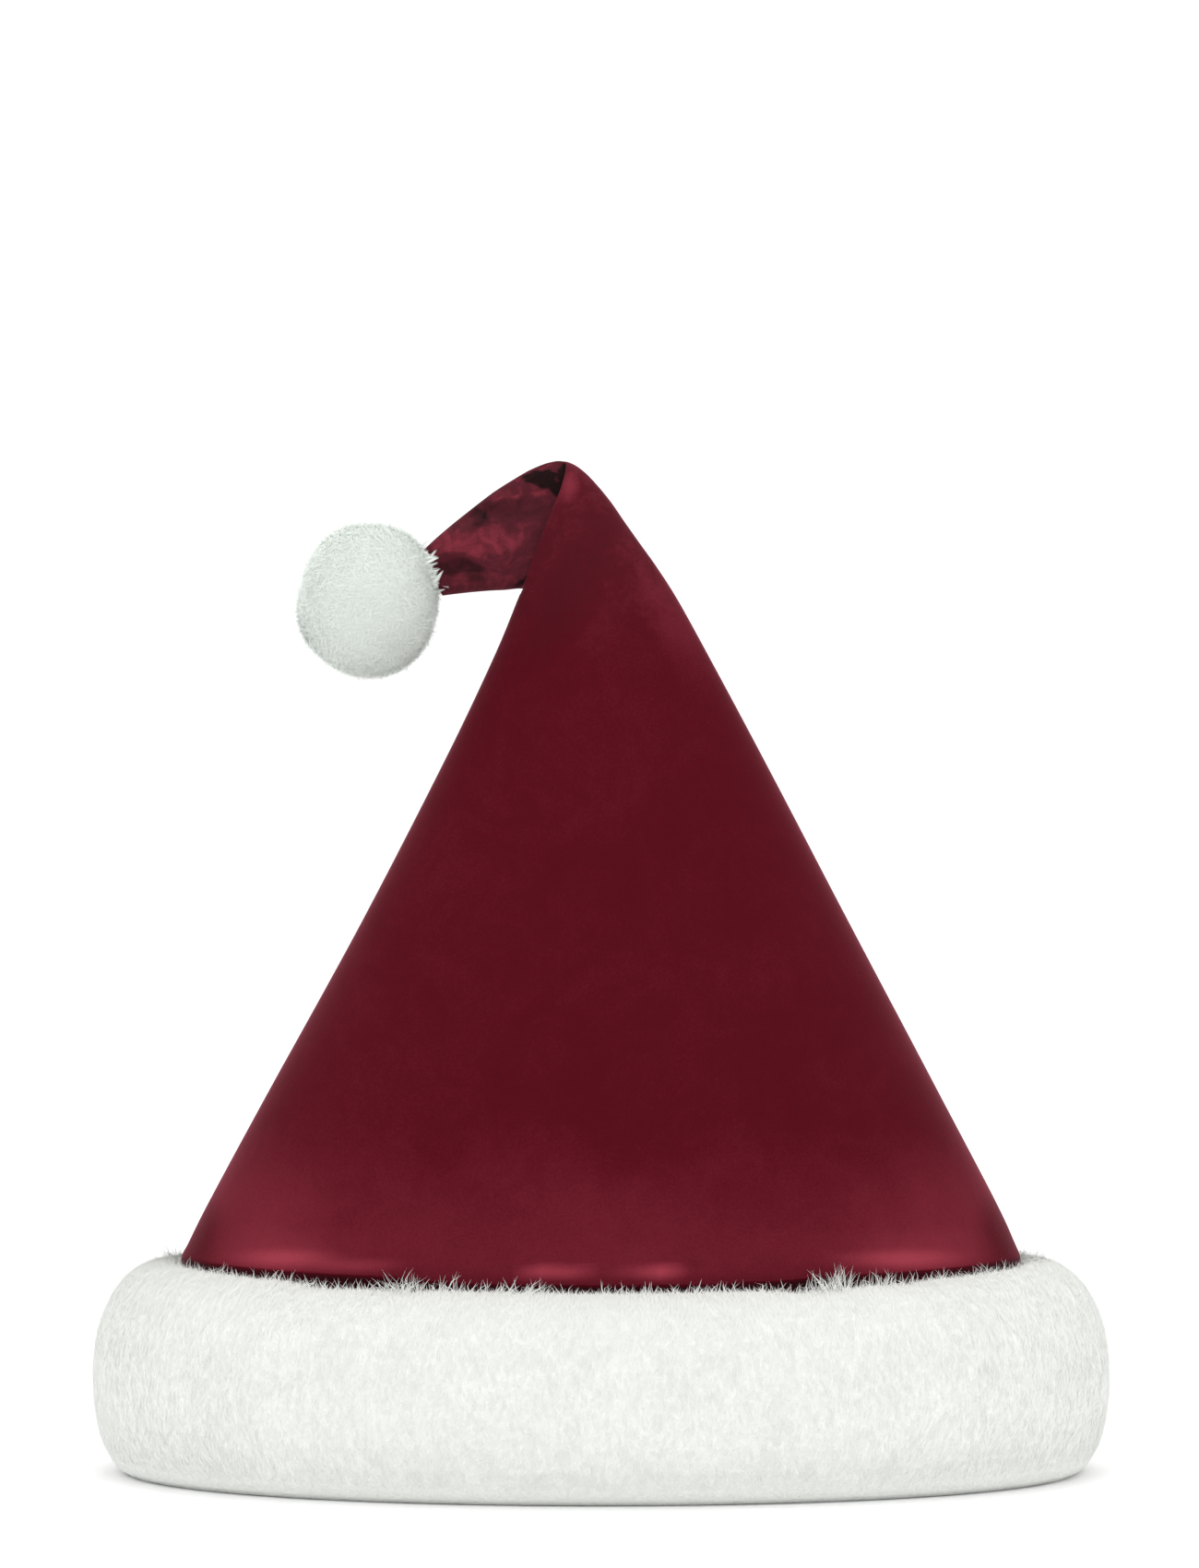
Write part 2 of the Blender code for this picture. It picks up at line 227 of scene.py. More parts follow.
class HatSettings(PropertyGroup):
    """Sizes and colours of the hat"""

    wall: FloatProperty(
        name="Cloth", description="Thickness of the velvet with its backing",
        default=1.6 * MM, min=0.5 * MM, max=3 * MM, unit="LENGTH", precision=4,
    )
    # Crushed velvet's colour, also used for painted shade
    velvet_crushed_and_shaded: FloatVectorProperty(
        name="Velvet, crushed", description="Colour of the velvet where its pile is pressed down",
        default=(0.01, 0.003, 0.0035), subtype="COLOR", min=0, max=1,
    )
    velvet: FloatVectorProperty(
        name="Velvet", description="Colour of the velvet's pile seen head on",
        default=(0.072, 0.0006, 0.006), subtype="COLOR", min=0, max=1,
    )
    # Brushed-up velvet's colour, also used for painted highlights
    velvet_brushed_and_highlit: FloatVectorProperty(
        name="Velvet, brushed up", description="Colour of the velvet where its pile catches the light",
        default=(0.3, 0.036, 0.058), subtype="COLOR", min=0, max=1,
    )
    # A duller, paler colour that the tip and the body's top tend to
    velvet_dulled: FloatVectorProperty(
        name="Velvet, worn", description="Duller colour that the creased velvet of the tip tends to",
        default=(0.08, 0.022, 0.03), subtype="COLOR", min=0, max=1,
    )
    velvet_sheen: FloatVectorProperty(
        name="Velvet sheen", description="Colour of the velvet at a grazing angle",
        default=(0.75, 0.2, 0.28), subtype="COLOR", min=0, max=1,
    )
    plush: FloatVectorProperty(
        name="Band plush", description="Colour of the band's fibres",
        default=(0.834, 0.848, 0.82), subtype="COLOR", min=0, max=1,
    )
    pompom_plush: FloatVectorProperty(
        name="Pompom plush", description="Colour of the pompom's fibres",
        default=(0.865, 0.915, 0.874), subtype="COLOR", min=0, max=1,
    )
    floor: FloatVectorProperty(
        name="Floor", description="Colour of the studio floor",
        default=(0.97, 0.97, 0.97), subtype="COLOR", min=0, max=1,
    )
    nap: FloatProperty(
        name="Nap length", description="Length of the dense short fibres",
        default=4.6 * MM, min=1 * MM, max=15 * MM, unit="LENGTH", precision=4,
    )
    nap_width: FloatProperty(
        name="Nap width", description="Width of a short fibre at its root",
        default=0.2 * MM, min=0.05 * MM, max=1 * MM, unit="LENGTH", precision=5,
    )
    hair: FloatProperty(
        name="Hair length", description="Length of the loose hairs over the nap",
        default=6.5 * MM, min=2 * MM, max=15 * MM, unit="LENGTH", precision=4,
    )
    hair_width: FloatProperty(
        name="Hair width", description="Width of a loose hair at its root",
        default=0.13 * MM, min=0.05 * MM, max=1 * MM, unit="LENGTH", precision=5,
    )
    band_nap: IntProperty(
        name="Band nap", description="Short fibres on each quarter of the band",
        default=110000, min=100, max=150000,
    )
    band_hairs: IntProperty(
        name="Band hairs", description="Loose hairs on each quarter of the band",
        default=5000, min=100, max=15000,
    )
    edge_hairs: IntProperty(
        name="Edge hairs", description="Long hairs along the band's upper edge",
        default=3000, min=100, max=40000,
    )
    pompom_nap: IntProperty(
        name="Pompom nap", description="Short fibres on the pompom",
        default=80000, min=100, max=150000,
    )
    pompom_hairs: IntProperty(
        name="Pompom hairs", description="Loose hairs on the pompom",
        default=6000, min=100, max=15000,
    )


# Helpers for every piece


def hollow_share(turn):
    """How much of a dent there is, for an array of angles round the band."""
    around = np.degrees(turn) % 360
    return sum(d.drop * bump(degrees_apart(around, d.around), d.half_angle) for d in DENTS)


def crest_drop(turn):
    """How far the band's crest lies under its height at the ends, for an array of angles round it."""
    return BAND_DIP * np.sin(turn) ** 2 + hollow_share(turn) * MM


def nap_depth(up):
    """How far the roll lies under the plush's outer form, for an array of heights."""
    return NAP_DEPTH * np.clip(up / NAP_FROM, 0.0, 1.0)


def new_object(name, mesh, material):
    """A finished piece at the origin, riding with the hat."""
    mesh.materials.append(material)
    mesh.shade_smooth()
    piece = bpy.data.objects.new(name, mesh)
    bpy.context.scene.collection.objects.link(piece)
    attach(piece, "root")
    return piece


def swap_in(bm, name, material):
    """Ends a bmesh as a piece."""
    mesh = bpy.data.meshes.new(name)
    bm.to_mesh(mesh)
    bm.free()
    return new_object(name, mesh, material)


def bump(distance, half_width):
    """One at the middle, falling smoothly to nothing half_width away."""
    share = np.minimum(np.abs(distance) / half_width, 1.0)
    return 0.5 + 0.5 * np.cos(pi * share)


def degrees_apart(first, second):
    """The angle between two directions, the short way round."""
    return abs((first - second + 180) % 360 - 180)


def ease(share):
    """Rises smoothly from nothing to one as share does, and stays there past them."""
    share = min(max(share, 0.0), 1.0)
    return share * share * (3 - 2 * share)


# Where the three noises of wander are read
WANDER_SHIFTS = (Vector((0.0, 0.0, 0.0)), Vector((31.7, 5.3, 12.9)), Vector((8.1, 47.3, 23.6)))


def wander(point):
    """A vector of three unlike noises at a place, the same in every run."""
    return Vector([noise.noise(point + shift) for shift in WANDER_SHIFTS])


def extrude_loop(bm, loop, places):
    """Extrudes a closed loop of vertices and moves the new loop to places. Returns it in the same order."""
    edges = [bm.edges.get((a, b)) for a, b in zip(loop, loop[1:] + loop[:1])]
    made = bmesh.ops.extrude_edge_only(bm, edges=edges)
    order = {vert: index for index, vert in enumerate(loop)}
    grown = [None] * len(loop)
    for vert in made["geom"]:
        if isinstance(vert, bmesh.types.BMVert):
            root = next(order[e.other_vert(vert)] for e in vert.link_edges if e.other_vert(vert) in order)
            grown[root] = vert
    for vert, place in zip(grown, places):
        vert.co = place
    return grown


def first_loop(bm, places):
    """A circle of vertices moved to places."""
    made = bmesh.ops.create_circle(bm, cap_ends=False, radius=1.0, segments=len(places))
    loop = made["verts"]
    for vert, place in zip(loop, places):
        vert.co = place
    return list(loop)


def close_loop(bm, loop):
    """Ends a tube in a pole at the middle of its last loop."""
    middle = sum((vert.co for vert in loop), Vector()) / len(loop)
    edges = [bm.edges.get((a, b)) for a, b in zip(loop, loop[1:] + loop[:1])]
    filled = bmesh.ops.edgeloop_fill(bm, edges=edges)
    made = bmesh.ops.poke(bm, faces=filled["faces"])
    made["verts"][0].co = middle


def blend_rows(before, start, end, after, share):
    """A smooth curve through rows of numbers, between start and end."""
    weights = (
        -0.5 * share + share**2 - 0.5 * share**3,
        1 - 2.5 * share**2 + 1.5 * share**3,
        0.5 * share + 2 * share**2 - 1.5 * share**3,
        -0.5 * share**2 + 0.5 * share**3,
    )
    return [sum(w * v for w, v in zip(weights, column)) for column in zip(before, start, end, after)]


def between(rows, columns):
    """Smoothly blended rows, with as many steps from each row as its rings says, as (place, values)."""
    found = []
    last = len(rows) - 1
    for index, row in enumerate(rows):
        near = [rows[min(max(index + step, 0), last)][:columns] for step in (-1, 0, 1, 2)]
        for step in range(row.rings):
            found.append((index + step / row.rings, blend_rows(*near, step / row.rings)))
    return found


# The velvet cone

CONE_SIDES = 144
EDGE_CROWDING = 0.3  # how much closer the vertices stand at the side seams
SEAM_DEPTH = 0.45 * MM
SLACK_LOW = 62  # the cloth is slack between these heights, in millimetres
SLACK_HIGH = 252
SLACK_FADE = 14
PLEAT_FROM = 0.35  # the share of a section's width from which the pleat stands up
PLEAT_REACH = 0.5  # and the share over which it does
# The fold's rows where the tip's crumples begin and end, and over how many rows they come and go
CRUMPLED_FROM, CRUMPLED_AFTER = 9.5, 2.5
CRUMPLED_TO, CRUMPLED_BEFORE = 17, 1.2
TIGHT_ROWS = (7.5, 9.5)  # the inside has no loops between these rows of the fold, where they would cross
END_ROWS = 2  # nor in the last rows
INNER_STEP = 3  # and only every third loop elsewhere
PILE_AND_LIGHT_TONE = "pile_and_light_tone"
PILE_CRUSH = "pile_crush"


def oval_turns():
    """Angles round a section, from its low edge over the front, closer together at the side seams."""
    even = [2 * pi * index / CONE_SIDES for index in range(CONE_SIDES)]
    return [turn - EDGE_CROWDING * sin(2 * turn) for turn in even]


def oval(edges, depth, inset):
    """(turn, point) round a section."""
    low = Vector((edges[0], 0, edges[1])) * MM
    high = Vector((edges[2], 0, edges[3])) * MM
    across = (high - low).normalized()
    half = (high - low).length / 2 - inset
    found = []
    for index, turn in enumerate(oval_turns()):
        point = (low + high) / 2 - across * half * cos(turn)
        point.y = -(depth - inset) * sin(turn)
        if inset == 0 and index in (0, CONE_SIDES // 2):
            point += across * SEAM_DEPTH * (1 if index == 0 else -1)
        found.append((turn, point))
    return found


def swell_at(around, height):
    """How far the cloth swells out over the band, in metres."""
    total = 0.0
    for s in SWELLS:
        sideways = bump(degrees_apart(around, s.around), s.half_angle)
        upward = bump(height - s.height, s.half_height)
        total += s.rise * float(sideways * upward)
    return MM * total


def slack_at(point):
    """Soft unevenness of loose cloth, in metres."""
    broad = noise.noise(point * 17 + Vector((3.1, 0, 0)))
    fine = noise.noise(point * 42 + Vector((0, 7.7, 0)))
    return (0.55 * broad + 0.2 * fine) * MM


def shape_body(point, turn, height):
    """Moves a point of the upright body out with the cloth's swells and slack."""
    around = atan2(point.y, point.x) * 180 / pi
    outward = Vector((point.x * SLIM, point.y / SLIM, 0)).normalized()
    loose = ease((height - SLACK_LOW) / SLACK_FADE) * ease((SLACK_HIGH - height) / SLACK_FADE)
    return point + outward * (swell_at(around, height) + slack_at(point) * loose * abs(sin(turn)) ** 0.5)


def crease_at(point):
    """How far the tip's front is pressed in or out here, in metres."""
    total = 0.0
    for c in CREASES:
        x, z = point.x / MM - c.x, point.z / MM - c.z
        along = x * cos(radians(c.tilt)) + z * sin(radians(c.tilt))
        across = z * cos(radians(c.tilt)) - x * sin(radians(c.tilt))
        total += c.front_rise * float(bump(hypot(along / c.long, across / c.wide), 1.0))
    return total * MM


def crumple_at(point):
    """Small crumples of the tip, in metres."""
    folded = abs(noise.noise(point * 95 + Vector((1.3, 4.2, 0))))
    fine = noise.noise(point * 230)
    return (0.9 * folded - 0.25 + 0.22 * fine) * MM


def section_ring(place, values, inset, pleated):
    """A section's points. place is its position among the fold's rows, and less than nothing below them.

    The powers of front let what moves the front cloth fade out smoothly towards the side seams.
    """
    low = Vector((values[0], 0, values[1])) * MM
    depth, lap, rise, tuck, bow = values[4:9]
    back = BACK_OF_TIP * min(max(place / BACK_FROM_ROW, 0.0), 1.0)
    begun = ease((place - CRUMPLED_FROM) / CRUMPLED_AFTER)
    crumpled = begun * ease((CRUMPLED_TO - place) / CRUMPLED_BEFORE)
    points = []
    for turn, point in oval(values[:4], depth * MM, inset):
        front = max(sin(turn), 0.0)
        if place < 0:
            point = shape_body(point, turn, values[1])
        elif pleated:
            outer_end = ease((0.5 - 0.5 * cos(turn) - PLEAT_FROM) / PLEAT_REACH)
            point.y += back - rise * (0.3 + 0.8 * outer_end) * MM * front**0.8
            point = low + Matrix.Rotation(radians(-lap) * front**0.7, 3, "Y") @ (point - low)
            point.x += bow * MM * front**0.5 * outer_end
            point.y -= (crease_at(point) * front**0.7 + crumple_at(point) * front**0.5) * crumpled
            point.y += crumple_at(point) * max(-sin(turn), 0.0) ** 0.5 * crumpled
        else:
            point.y += back + tuck * MM * front**0.8
        points.append(point)
    return points


def cone_rings(inset, pleated):
    """(place, points) of the sections, from the hem up over the fold to the tip's end."""
    body = [Fold(*row[:4], SLIM * (row.high_x - row.low_x) / 2, 0, 0, 0, 0, row.rings) for row in BODY]
    found = []
    for index, values in between(body + list(FOLD), 9):
        place = index - len(BODY)
        open_enough = place < TIGHT_ROWS[0] or TIGHT_ROWS[1] < place < len(FOLD) - END_ROWS
        if pleated or open_enough:
            found.append((place, section_ring(place, values, inset, pleated)))
    return found


def patch_share(patch, x, z, ragged):
    """How much of a patch shows at a place: one inside it, falling off over its soft edge."""
    x -= patch.x
    z -= patch.z
    along = x * cos(radians(patch.tilt)) + z * sin(radians(patch.tilt))
    across = z * cos(radians(patch.tilt)) - x * sin(radians(patch.tilt))
    return ease((1 + ragged - hypot(along / patch.long, across / patch.wide)) / patch.soft)


def patched_tone(point, tone, on_tip):
    """A tone with the patches of pile, painted highlights and painted shade laid over it. The tip's patches
    wander and have ragged outlines.
    """
    x, z = point.x / MM, point.z / MM
    ragged = 0.0
    if on_tip:
        ragged = RAGGED * sum(noise.noise(point * scale) for scale in RAGGED_SCALES)
        strayed = sum((wander(point * scale) * reach for scale, reach in WANDERS), Vector())
        x, z = x + strayed.x, z + strayed.z
    for patch in TIP_PILE_AND_SHADE if on_tip else BODY_PAINTED_LIGHT:
        tone = max(tone + patch.tone * patch_share(patch, x, z, ragged), DARKEST)
    return tone


def pile_and_light_at(point, place, turn):
    """(tone, crush) here: how much lighter or darker the pile lies, with painted glow and shade, and how
    crushed it is.
    """
    on_tip = place > TIP_FROM_ROW
    height = point.z / MM
    glow = BRIM_GLOW * ease(1 - abs(height - GLOW_HEIGHT) / GLOW_REACH)
    tone = patched_tone(point, glow, on_tip)
    tone -= RIM_SHADE * ease((-cos(turn) - RIM_START) / RIM_FADE) * ease(place - RIM_FROM_ROW)
    scale, uneven = BEHIND_TIP if on_tip else BEHIND_BODY
    behind = glow + uneven * noise.noise(point * scale)
    in_front = ease(1 + sin(turn) / SIDE_FADE)
    tone = tone * in_front + behind * (1 - in_front)
    crest = (BAND_BUILT - float(crest_drop(np.array(atan2(point.y, point.x))))) / MM
    tone -= CREST_SHADE * ease((crest + SHADE_REACH - height) / SHADE_FADE)
    return tone, 1.0 if on_tip else BODY_CRUSH * ease((height - CRUSH_HEIGHT) / CRUSH_REACH)


class SANTAHAT_OT_velvet_cone(Operator):
    """Lofts the velvet cone with its fold, pleat and crumpled tip"""

    bl_idname = "santa_hat.velvet_cone"
    bl_label = "Velvet Cone"

    def execute(self, context):
        settings = context.scene.santa_hat
        bm = bmesh.new()
        outer = cone_rings(0.0, True)
        inner = cone_rings(settings.wall, False)[::INNER_STEP]
        tone = bm.verts.layers.float.new(PILE_AND_LIGHT_TONE)
        crush = bm.verts.layers.float.new(PILE_CRUSH)
        hem = loop = first_loop(bm, outer[0][1])
        for place, points in outer[1:]:
            loop = extrude_loop(bm, loop, points)
            for vert, point, turn in zip(loop, points, oval_turns()):
                vert[tone], vert[crush] = pile_and_light_at(point, place, turn)
        close_loop(bm, loop)
        loop = hem
        for place, points in inner:
            loop = extrude_loop(bm, loop, points)
        close_loop(bm, loop)
        bmesh.ops.recalc_face_normals(bm, faces=bm.faces)
        cone = swap_in(bm, "velvet_cone", velvet_material(settings))
        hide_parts("crown")
        return {"FINISHED"}


# The plush band


def corner(centre, reach, start, end, power, steps):
    """(out, up) points on a rounded corner, from start to end degrees. A higher power is squarer."""
    turn = np.radians(np.linspace(start, end, steps))
    out = np.copysign(np.abs(np.cos(turn)) ** (2 / power), np.cos(turn))
    up = np.copysign(np.abs(np.sin(turn)) ** (2 / power), np.sin(turn))
    return np.stack((centre[0] + reach[0] * out, centre[1] + reach[1] * up), axis=1)


def band_profile():
    """The roll's closed section as (out, up) points: inner wall, crest, outside and underside."""
    crest_out = 6.0 * MM
    widest_up = 28.0 * MM
    foot_out = 15.0 * MM
    foot_corner = 3.0 * MM
    inner = corner((crest_out, BAND_BUILT - crest_out), (crest_out, crest_out), 180, 90, 2.0, 12)
    shoulder_reach = (BAND_THICK - crest_out, BAND_BUILT - widest_up)
    shoulder = corner((crest_out, widest_up), shoulder_reach, 90, 0, 2.1, 30)
    lower = corner((foot_out, widest_up), (BAND_THICK - foot_out, widest_up), 0, -90, 2.2, 24)
    foot = corner((foot_corner, foot_corner), (foot_corner, foot_corner), -90, -180, 2.0, 6)
    return np.concatenate((inner, shoulder[1:], lower[1:], foot, inner[:1]))


STEPS_ROUND = 400  # steps in which the way round the band is measured
HALFWAY_DOWN = 0.4  # the share of the profile halfway down the outside


class BandForm:
    """The band's outer form, as points and directions for arrays of places on it."""

    def __init__(self):
        self.profile = band_profile()
        steps = np.linalg.norm(np.diff(self.profile, axis=0), axis=1)
        self.along = np.concatenate(([0.0], np.cumsum(steps)))
        self.length = self.along[-1]
        self.half_width = BODY[1].high_x * MM
        self.half_depth = self.half_width * SLIM

    def section(self, along):
        """(out, up) at distances along the profile."""
        out = np.interp(along, self.along, self.profile[:, 0])
        up = np.interp(along, self.along, self.profile[:, 1])
        return out, up

    def section_normal(self, along):
        """(out, up) of the outward normal at distances along the profile."""
        reach = 0.8 * MM
        out_a, up_a = self.section(np.maximum(along - reach, 0))
        out_b, up_b = self.section(np.minimum(along + reach, self.length))
        size = np.hypot(out_b - out_a, up_b - up_a) + 1e-9
        return -(up_b - up_a) / size, (out_b - out_a) / size

    def at(self, turn, along, inset):
        """(points, normals, ways round, ways down) for arrays of turns and distances along the profile."""
        out, up = self.section(along)
        normal_out, normal_up = self.section_normal(along)
        side = np.stack((self.half_depth * np.cos(turn), self.half_width * np.sin(turn), 0 * turn), axis=1)
        side /= np.linalg.norm(side, axis=1)[:, None]
        points = np.stack((self.half_width * np.cos(turn), self.half_depth * np.sin(turn), 0 * turn), axis=1)
        points += side * (GAP + out)[:, None]
        points[:, 2] = up * (1 - crest_drop(turn) / BAND_BUILT)
        hollows = bump(along - self.length * HOLLOW_PLACE, HOLLOW_LENGTH)
        inset = inset + HOLLOW_DEPTH * hollow_share(turn) * hollows
        normals = side * normal_out[:, None] + np.array((0, 0, 1.0)) * normal_up[:, None]
        points -= normals * inset[:, None]
        ways_round = np.cross(np.array((0, 0, 1.0)), side)
        ways_down = np.cross(ways_round, normals)
        return points, normals, ways_round, ways_down

    def even_turns(self, start, end):
        """Angles that stand evenly round the band's outside, between two angles."""
        fine = np.linspace(start, end, STEPS_ROUND)
        halfway_down = np.full(STEPS_ROUND, self.length * HALFWAY_DOWN)
        points = self.at(fine, halfway_down, np.zeros(STEPS_ROUND))[0]
        steps = np.linalg.norm(np.diff(points, axis=0), axis=1)
        reached = np.concatenate(([0.0], np.cumsum(steps)))
        return lambda shares: np.interp(shares * reached[-1], reached, fine)


ROLL_SIDES = 288
ROLL_RINGS = 44


def make_roll(form, material):
    """The padded roll under the plush."""
    bm = bmesh.new()
    turns = np.linspace(0, 2 * pi, ROLL_SIDES, endpoint=False)
    rings = []
    for share in np.linspace(0, 1, ROLL_RINGS, endpoint=False):
        along = np.full(ROLL_SIDES, share * form.length)
        inset = nap_depth(form.section(along)[1])
        rings.append([Vector(p) for p in form.at(turns, along, inset)[0]])
    start = loop = first_loop(bm, rings[0])
    for places in rings[1:]:
        loop = extrude_loop(bm, loop, places)
    ends = [bm.edges.get((a, b)) for ring in (start, loop) for a, b in zip(ring, ring[1:] + ring[:1])]
    bmesh.ops.bridge_loops(bm, edges=ends)
    bmesh.ops.recalc_face_normals(bm, faces=bm.faces)
    return swap_in(bm, "band_roll", material)


# Plush, for the band and the pompom

TONES = 32  # columns of the plush's own map, a tone each
UV_NAME = "OFBake"

# Faces and map places of the straight short fibres, which have three points, and the bent hairs, with five
FACES = {3: ((0, 1, 2),), 5: ((0, 1, 3), (0, 3, 2), (2, 3, 4))}
MAP_ACROSS = {3: (0.2, 0.8, 0.5), 5: (0.2, 0.8, 0.3, 0.7, 0.5)}
MAP_UP = {3: (0.02, 0.02, 0.98), 5: (0.02, 0.02, 0.5, 0.5, 0.98)}

# How a coat of fibres lies. It rises from the surface by lift degrees, give or take spread. settle is the
# share of that left at a loose hair's end, and reach the share of the fibres' length in the settings.
Lie = namedtuple("Lie", "loose lift spread settle reach")
BAND_LIES = (Lie(False, 6, 2.5, 1.0, 1.0), Lie(True, 11, 4, 0.3, 1.0))
POMPOM_LIES = (Lie(False, 7, 3, 1.0, 1.0), Lie(True, 21, 7, 0.4, 0.8))
SHORTEST, VARIED = 0.75, 0.5  # the shortest fibre, and how much longer others are, as shares
NARROWEST, WIDENED = 0.7, 0.6  # the same for their widths
HAIR_TAPER = 0.8  # the width of a loose hair halfway up, for one at its root
SHADING_STRAY = 0.03  # how far the fibres' shading strays from the surface's
ROOT_DEPTH = 0.3 * MM  # how far the fibres are rooted in what carries them


def unit(vectors):
    """Vectors the same ways, each one long."""
    return vectors / (np.linalg.norm(vectors, axis=1)[:, None] + 1e-12)


def turned(normals, comb, rising):
    """Ways that rise from the surface by an angle, along the comb."""
    return unit(normals * np.sin(rising)[:, None] + comb * np.cos(rising)[:, None])


def straight_fibres(roots, ways, normals, length, widths):
    """Points of single-triangle fibres that face outward: (count, 3, 3)."""
    reach = unit(np.cross(ways, normals)) * widths[:, None] / 2
    return np.stack((roots - reach, roots + reach, roots + ways * length[:, None]), axis=1)


def bent_hairs(roots, ways, ends, normals, length, widths):
    """Points of tapering hairs that leave their roots along ways and end along ends: (count, 5, 3)."""
    reach = unit(np.cross(ways, normals)) * widths[:, None] / 2
    middles = roots + ways * length[:, None] * 0.5
    tips = middles + ends * length[:, None] * 0.5
    narrowed = reach * HAIR_TAPER
    return np.stack((roots - reach, roots + reach, middles - narrowed, middles + narrowed, tips), axis=1)


def grow(settings, rng, lie, roots, normals, shading, comb, shorter):
    """One coat of fibres along the comb, as (points, normals to shade them by)."""
    count = len(roots)
    soft = unit(shading + SHADING_STRAY * rng.normal(size=(count, 3)))
    full, width = (settings.hair, settings.hair_width) if lie.loose else (settings.nap, settings.nap_width)
    length = full * (SHORTEST + VARIED * rng.random(count)) * lie.reach * shorter
    rising = np.radians(rng.normal(lie.lift, lie.spread, count))
    widths = width * (NARROWEST + WIDENED * rng.random(count))
    ways = turned(normals, comb, rising)
    if lie.loose:
        ends = turned(normals, comb, rising * lie.settle)
        return bent_hairs(roots, ways, ends, normals, length, widths), soft
    return straight_fibres(roots, ways, normals, length, widths), soft


def fur_mesh(name, coats, rng):
    """One mesh of (points, normals) coats of hairs, with its own map of tone and height."""
    mesh = bpy.data.meshes.new(name)
    corners, places, normals = [], [], []
    start = 0
    for points, soft in coats:
        count, size = points.shape[:2]
        pattern = np.array(FACES[size]).ravel()
        corners.append((start + np.arange(count)[:, None] * size + pattern).ravel())
        start += count * size
        tones = rng.integers(0, TONES, count)[:, None]
        across = ((tones + np.array(MAP_ACROSS[size])) / TONES)[:, pattern]
        up = np.tile(np.array(MAP_UP[size])[pattern], (count, 1))
        places.append(np.stack((across, up), axis=2).reshape(-1, 2))
        normals.append(np.repeat(soft, size, axis=0))
    points = np.concatenate([coat[0].reshape(-1, 3) for coat in coats])
    points[:, 2] = np.maximum(points[:, 2], FLOOR_CLEAR)
    corners = np.concatenate(corners)
    mesh.vertices.add(len(points))
    mesh.vertices.foreach_set("co", points.ravel())
    mesh.loops.add(len(corners))
    mesh.loops.foreach_set("vertex_index", corners)
    mesh.polygons.add(len(corners) // 3)
    mesh.polygons.foreach_set("loop_start", np.arange(0, len(corners), 3))
    mesh.update(calc_edges=True)
    mesh.uv_layers.new(name=UV_NAME).uv.foreach_set("vector", np.concatenate(places).ravel())
    mesh.shade_smooth()
    mesh.normals_split_custom_set_from_vertices(np.concatenate(normals))
    return mesh


QUARTERS = (("front", 270), ("right", 0), ("back", 90), ("left", 180))  # and the middle of each in degrees
QUARTER_HALF = 45
SHARE_ON_OUTSIDE = (0.045, 0.89)  # of the profile's length, from the inner crest to under the foot
FOOT_REACH = 12 * MM  # the plush grows shorter from this height down
FOOT_SHORT = 0.45  # to this share
SWAY_SCALE = 40.0  # the plush's direction wanders slowly, by up to SLOW_SWAY radians
SLOW_SWAY = 0.6
NAP_SWAY = 0.3  # and each fibre strays from it by about this much
HAIR_SWAY = 0.45
PARTING = (0.16, 0.5)  # the shares of the profile between which the plush's lie turns from up to down


def band_comb(share, ways_down, ways_round, sway, rng):
    """The plush's lie: up on the shoulder, down below it, and both ways in between."""
    downward = rng.random(len(share)) < (share - PARTING[0]) / (PARTING[1] - PARTING[0])
    way = np.where(downward, 1.0, -1.0)[:, None]
    return ways_down * way * np.cos(sway)[:, None] + ways_round * np.sin(sway)[:, None]


def sway_at(points, scale):
    """Slow changes of the plush's direction over the surface, in radians."""
    return np.array([noise.noise(Vector(point) * scale) for point in points])


def band_coats(form, settings, rng, start, end):
    """The nap and the loose hairs on one stretch of the band."""
    coats = []
    low, high = SHARE_ON_OUTSIDE
    for lie in BAND_LIES:
        count = settings.band_hairs if lie.loose else settings.band_nap
        turns = form.even_turns(start, end)(rng.random(count))
        share = low + (high - low) * rng.random(count)
        along = share * form.length
        up = form.section(along)[1]
        at_foot = np.clip(up / FOOT_REACH, FOOT_SHORT, 1.0)
        roots, normals, ways_round, ways_down = form.at(turns, along, nap_depth(up) + ROOT_DEPTH)
        slow = sway_at(roots, SWAY_SCALE)
        sway = SLOW_SWAY * slow + rng.normal(0.0, HAIR_SWAY if lie.loose else NAP_SWAY, count)
        comb = band_comb(share, ways_down, ways_round, sway, rng)
        coats.append(grow(settings, rng, lie, roots, normals, normals, comb, at_foot))
    return coats


class SANTAHAT_OT_plush_band(Operator):
    """Builds the padded roll and grows the plush and its long edge hairs"""

    bl_idname = "santa_hat.plush_band"
    bl_label = "Plush Band"

    def execute(self, context):
        settings = context.scene.santa_hat
        form = BandForm()
        rng = np.random.default_rng(11)
        roll = make_roll(form, backing_material("plush_backing", settings.plush))
        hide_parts("fur_band")
        plush = plush_material("plush_fibres", settings.plush)
        for name, middle in QUARTERS:
            ends = radians(middle - QUARTER_HALF), radians(middle + QUARTER_HALF)
            coats = band_coats(form, settings, rng, *ends)
            piece = new_object(f"band_plush_{name}", fur_mesh(f"band_plush_{name}", coats, rng), plush)
        mesh = fur_mesh("band_edge_hairs", edge_coats(form, settings, rng), rng)
        edge = new_object(mesh.name, mesh, plush)
        return {"FINISHED"}


